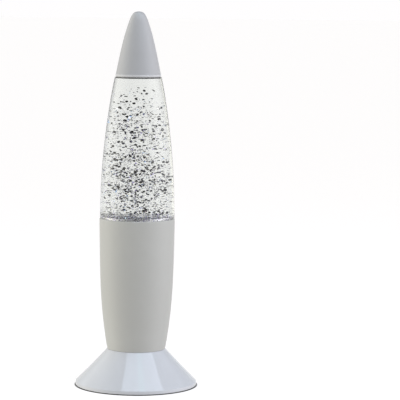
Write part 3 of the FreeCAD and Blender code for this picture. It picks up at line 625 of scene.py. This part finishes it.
# bottle and liquid
BOTTLE_TABLE = [(148.95, 32.85), (165.0, 32.62), (185.0, 31.85), (205.0, 30.33), (225.0, 28.23),
                (245.0, 25.5), (260.0, 23.05), (272.45, 20.685)]
bottle_side = clamped_spline(BOTTLE_TABLE, 0.0, -0.185, 110)
bottle_inside = between(inner(bottle_side, 0.9), 150.0, 271.3)
b0, b1 = bottle_inside[0], bottle_inside[-1]
bottle = lathe("bottle_turned", [joined(
    [(0, 146.5), (30.2, 146.5), (30.2, 142.0), (31.2, 142.0), (31.2, 148.7), (32.6, 148.7)],
    three_point((32.6, 148.7), (32.777, 148.773), (32.85, 148.95), 5), bottle_side,
    three_point((20.685, 272.45), (20.612, 272.627), (20.435, 272.7), 5),
    [(14.0, 272.7), (14.0, 289.5), (12.6, 289.5), (12.6, 271.8), (b1[0] - 0.5, 271.8)],
    three_point((b1[0] - 0.5, 271.8), (b1[0] - 0.13, 271.67), b1, 6), list(reversed(bottle_inside)),
    three_point(b0, (b0[0] - 0.176, b0[1] - 0.424), (b0[0] - 0.6, b0[1] - 0.6), 6),
    [(30.3, b0[1] - 0.6), (30.3, 148.0)],
    three_point((30.3, 148.0), (30.12, 147.58), (29.7, 147.4), 6), [(0, 147.4)])])
stands_for(bottle, "lamp", "clear_bottle", M["clear_bottle"], "bottle")
bottle.data.materials.append(M["wet_wall"])
for face in bottle.data.polygons:
    at = face.center / MM
    r, z = math.hypot(at.x, at.y), at.z
    outside = min(bottle_side, key=lambda p: abs(p[1] - z))[0]
    if 150.0 < z < 271.9 and r < outside - 0.5 or r < 13.0 and 271.9 <= z < 281.0:
        face.material_index = 1

liquid_side = between(inner(bottle_side, 0.95), 150.65, 271.25)
l1 = liquid_side[-1]
liquid = lathe("liquid_turned", [joined(
    [(0, 150.65)], liquid_side, three_point(l1, (l1[0] - 0.13, 271.62), (l1[0] - 0.5, 271.75), 6),
    [(12.55, 271.75), (12.55, 280.8), (0, 280.8)])])
stands_for(liquid, "lamp", "liquid_clear", M["liquid_clear"], "liquid")


# ---------------------------------------------------------------- glitter
def liquid_radius(z):
    for (r0, z0), (r1, z1) in zip(liquid_side, liquid_side[1:]):
        if z0 <= z <= z1:
            return r0 + (r1 - r0) * (z - z0) / (z1 - z0)
    return liquid_side[0][0] if z < liquid_side[0][1] else liquid_side[-1][0]


class Flakes:
    """Many thin closed hexagonal plates in one mesh."""

    def __init__(self, name):
        self.name, self.verts, self.faces = name, [], []

    def add(self, centre, rotation, radius, thick=0.03):
        n = len(self.verts)
        for side in (-1, 1):
            for k in range(6):
                p = Vector((radius * math.cos(math.radians(60 * k)),
                            radius * math.sin(math.radians(60 * k)), side * thick))
                self.verts.append((rotation @ p + centre) * MM)
        self.faces.append([n + k for k in (5, 4, 3, 2, 1, 0)])
        self.faces.append([n + 6 + k for k in range(6)])
        for k in range(6):
            j = (k + 1) % 6
            self.faces.append([n + k, n + j, n + 6 + j, n + 6 + k])

    def object(self):
        me = bpy.data.meshes.new(self.name)
        me.from_pydata(self.verts, [], self.faces)
        me.update()
        o = bpy.data.objects.new(self.name, me)
        scene.collection.objects.link(o)
        return o


def tumbled(dice, spread):
    """A rotation: the plate lies flat, then tips by up to about spread degrees any way."""
    tip = math.radians(min(178.0, abs(dice.gauss(0.0, spread))))
    turn = dice.uniform(0, 2 * math.pi)
    return (Matrix.Rotation(turn, 3, "Z") @ Matrix.Rotation(tip, 3, "X")
            @ Matrix.Rotation(dice.uniform(0, math.pi), 3, "Z"))


# colour, roughness, metallic, share of the flakes, plate radius in mm, how near the axis they keep
KINDS = [("black", (0.005, 0.005, 0.007), 0.25, 0.0, 0.23, 1.10, 0.66),
         ("dark", (0.040, 0.040, 0.047), 0.25, 0.5, 0.16, 0.74, 0.80),
         ("grey", (0.26, 0.26, 0.29), 0.25, 1.0, 0.19, 0.58, 0.95),
         ("silver", (0.88, 0.88, 0.91), 0.16, 1.0, 0.20, 0.56, 1.0),
         ("violet", (0.36, 0.28, 0.66), 0.22, 1.0, 0.10, 0.58, 1.0),
         ("blue", (0.28, 0.44, 0.70), 0.22, 1.0, 0.08, 0.56, 1.0),
         ("gold", (0.60, 0.56, 0.34), 0.22, 1.0, 0.03, 0.52, 1.0),
         ("rose", (0.58, 0.42, 0.40), 0.22, 1.0, 0.02, 0.52, 1.0)]
FOILS = {k[0]: foil("foil_" + k[0], k[1], k[2], k[3]) for k in KINDS}
names = [k[0] for k in KINDS]
shares = [k[4] for k in KINDS]
sizes = {k[0]: k[5] for k in KINDS}
keeps = {k[0]: k[6] for k in KINDS}

dice = random.Random(41)
LOW, HIGH = 151.4, 264.0
FLOATING = 2750
# how many flakes there are per millimetre of height
CROWD = [(151.4, 1.05), (160.0, 1.0), (185.0, 1.0), (195.0, 0.80), (204.0, 0.78), (212.0, 0.60), (233.0, 0.58),
         (243.0, 0.40), (247.5, 0.20), (258.0, 0.12), (264.0, 0.0)]


def crowd(z):
    for (z0, c0), (z1, c1) in zip(CROWD, CROWD[1:]):
        if z <= z1:
            return c0 + (c1 - c0) * (z - z0) / (z1 - z0)
    return 0.0


def height():
    while True:
        z = dice.uniform(LOW, HIGH)
        if dice.random() * 1.05 < crowd(z):
            return z


def spot(keep, margin=1.2):
    z = height()
    r = (liquid_radius(z) - margin) * keep * math.sqrt(dice.random())
    a = dice.uniform(0, 2 * math.pi)
    return Vector((r * math.cos(a), r * math.sin(a), z))


clumps = [spot(0.78, 2.0) for _ in range(260)]
floating = {n: Flakes("flakes_" + n) for n in names}
made = 0
while made < FLOATING:
    kind = dice.choices(names, shares)[0]
    if dice.random() < 0.38:
        p = dice.choice(clumps) + Vector((dice.gauss(0, 2.2), dice.gauss(0, 2.2), dice.gauss(0, 1.8)))
    else:
        p = spot(keeps[kind])
    if not LOW < p.z < HIGH or math.hypot(p.x, p.y) > liquid_radius(p.z) - 1.1:
        continue
    lying = dice.random() < 0.30
    size = sizes[kind] * dice.uniform(0.75, 1.2)
    floating[kind].add(p, tumbled(dice, 18.0 if lying else 80.0), size)
    made += 1
for _ in range(2500):
    p = spot(1.0, 0.7)
    kind = dice.choices(names, [0.01, 0.06, 0.27, 0.28, 0.19, 0.13, 0.04, 0.02])[0]
    floating[kind].add(p, tumbled(dice, 80.0), dice.uniform(0.26, 0.40))
first = True
for n in names:
    o = floating[n].object()
    if first:
        stands_for(o, "lamp", "glitter", FOILS[n], "glitter_flakes")
        first = False
    else:
        stands_for(o, "lamp", "glitter", FOILS[n])

# settled layer: a lumpy disc of packed flakes with loose ones lying on it
BED_R = 31.7


def bed_height(x, y):
    return 150.35 + 0.12 * math.sin(x * 0.31 + 1.0) * math.cos(y * 0.27) + 0.04 * math.sin(x * 0.83 + y * 0.71)


rings, segments = 40, 192
verts, faces = [(0, 0, bed_height(0, 0))], []
for i in range(1, rings + 1):
    r = 31.8 * i / rings
    for k in range(segments):
        a = 2 * math.pi * k / segments
        x, y = r * math.cos(a), r * math.sin(a)
        verts.append((x, y, bed_height(x, y)))
for r, z in ((31.83, 150.0), (31.4, 149.5), (30.2, 149.46), (30.2, 148.05), (29.6, 147.45)):
    for k in range(segments):
        a = 2 * math.pi * k / segments
        verts.append((r * math.cos(a), r * math.sin(a), z))
verts.append((0, 0, 147.45))
total = rings + 5
for k in range(segments):
    j = (k + 1) % segments
    faces.append((0, 1 + k, 1 + j))
    for i in range(total - 1):
        a, b = 1 + i * segments, 1 + (i + 1) * segments
        faces.append((a + k, b + k, b + j, a + j))
    a = 1 + (total - 1) * segments
    faces.append((len(verts) - 1, a + j, a + k))
me = bpy.data.meshes.new("bed_turned")
me.from_pydata([(x * MM, y * MM, z * MM) for x, y, z in verts], [], faces)
me.update()
me.shade_smooth()
for face in me.polygons:
    if math.hypot(face.center.x, face.center.y) > 31.1 * MM or face.center.z < 149.6 * MM:
        face.use_smooth = False
bed = bpy.data.objects.new("bed_turned", me)
scene.collection.objects.link(bed)
m, t = material("bed_foil")
here = t.place()
cells = t.node("ShaderNodeTexVoronoi", feature="F1")
t.put(cells.inputs["Vector"], here)
cells.inputs["Scale"].default_value = 900.0
pick = t.node("ShaderNodeSeparateColor")
t.put(pick.inputs[0], cells.outputs["Color"])
dense = t.ramp(pick.outputs[0], [(0.0, (0.30, 0.29, 0.36)), (0.07, (0.70, 0.67, 0.86)), (0.30, (0.92, 0.90, 1.0)),
                                 (0.55, (1.0, 1.0, 1.0))], "CONSTANT")
# towards the back the bed turns whiter: partly a thinner layer, partly painted light that lifts the back, where the bed
# reflects dark surroundings
sparse_and_painted_lighter = t.ramp(pick.outputs[0], [(0.0, (0.50, 0.50, 0.54)), (0.05, (0.86, 0.86, 0.90)), (0.20, (1.0, 1.0, 1.0))], "CONSTANT")
across = t.node("ShaderNodeSeparateXYZ")
t.put(across.inputs[0], here)
back = t.span(across.outputs[1], -0.010, 0.012)
tone = t.mix(back, dense, sparse_and_painted_lighter)
tilt = t.node("ShaderNodeVectorMath", operation="MULTIPLY_ADD")
t.put(tilt.inputs[0], cells.outputs["Color"])
tilt.inputs[1].default_value = (0.18, 0.10, 0.0)
tilt.inputs[2].default_value = (-0.09, -0.05, 0.0)
lean = t.node("ShaderNodeVectorMath", operation="ADD")
t.put(lean.inputs[0], t.node("ShaderNodeNewGeometry").outputs["Normal"])
t.put(lean.inputs[1], tilt.outputs[0])
unit = t.node("ShaderNodeVectorMath", operation="NORMALIZE")
t.put(unit.inputs[0], lean.outputs[0])
t.principled(Base_Color=tone, Metallic=1.0, Roughness=t.span(pick.outputs[1], 0.0, 1.0, 0.10, 0.30),
             Normal=unit.outputs[0])
stands_for(bed, "lamp", "glitter", m, "glitter_bed")

settled = {n: Flakes("settled_" + n) for n in names}
for _ in range(2400):
    r, a = 31.0 * math.sqrt(dice.random()), dice.uniform(0, 2 * math.pi)
    x, y = r * math.cos(a), r * math.sin(a)
    if y > -6.0 and dice.random() < 0.75:
        continue
    kind = dice.choices(names, [0.02, 0.03, 0.08, 0.64, 0.13, 0.07, 0.01, 0.02])[0]
    size = min(0.6, sizes[kind]) * dice.uniform(0.8, 1.2)
    p = Vector((x, y, bed_height(x, y) + 0.05 + dice.random() ** 2 * 0.5))
    settled[kind].add(p, tumbled(dice, 3.0 if dice.random() < 0.6 else 30.0), size)
for n in names:
    stands_for(settled[n].object(), "lamp", "glitter", FOILS[n])

# ---------------------------------------------------------------- carried-over nodes
for name in ("cell_left", "cell_middle", "cell_right"):
    node = nodes["battery_" + name]
    ys = [v.co.y for v in node.data.vertices]
    M[name] = cell_wrap("cell_wrap_" + name, abs(max(ys)) > abs(min(ys)))
FINISH = {
    "bottle_stopper": "stopper_white", "cap_seal": "seal_grey", "reflector_cup": "reflector_white",
    "diffuser_disc": "diffuser_milky", "led_board": "board_green", "control_chip": "chip_black",
    "board_resistors": "resistor_tan", "board_screws": "screw_zinc", "body_screws": "screw_zinc",
    "base_screws": "screw_zinc", "switch_screws": "screw_zinc", "base_plate": "plate_black",
    "rubber_feet": "pad_black", "battery_springs": "spring_steel",
    "contact_positive": "contact_nickel", "contact_negative": "contact_nickel",
    "contact_bridges": "contact_nickel", "switch_housing": "switch_metal",
    "switch_terminals": "contact_nickel", "lead_supply": "lead_red", "lead_red": "lead_red",
    "lead_black": "lead_black", "battery_door": "plate_black", "switch_knob": "knob_black",
    "battery_cell_left": "cell_left", "battery_cell_middle": "cell_middle",
    "battery_cell_right": "cell_right",
}
M["led_red"] = led_lens("led_lens_red", (0.85, 0.30, 0.26))
M["led_green"] = led_lens("led_lens_green", (0.35, 0.80, 0.42))
M["led_blue"] = led_lens("led_lens_blue", (0.35, 0.50, 0.90))
for n in ("led_red", "led_green", "led_blue"):
    FINISH[n] = n
for name, key in FINISH.items():
    data = nodes[name].data
    data.materials.clear()
    data.materials.append(M[key])

# ---------------------------------------------------------------- last view-layer update
bpy.context.view_layer.update()
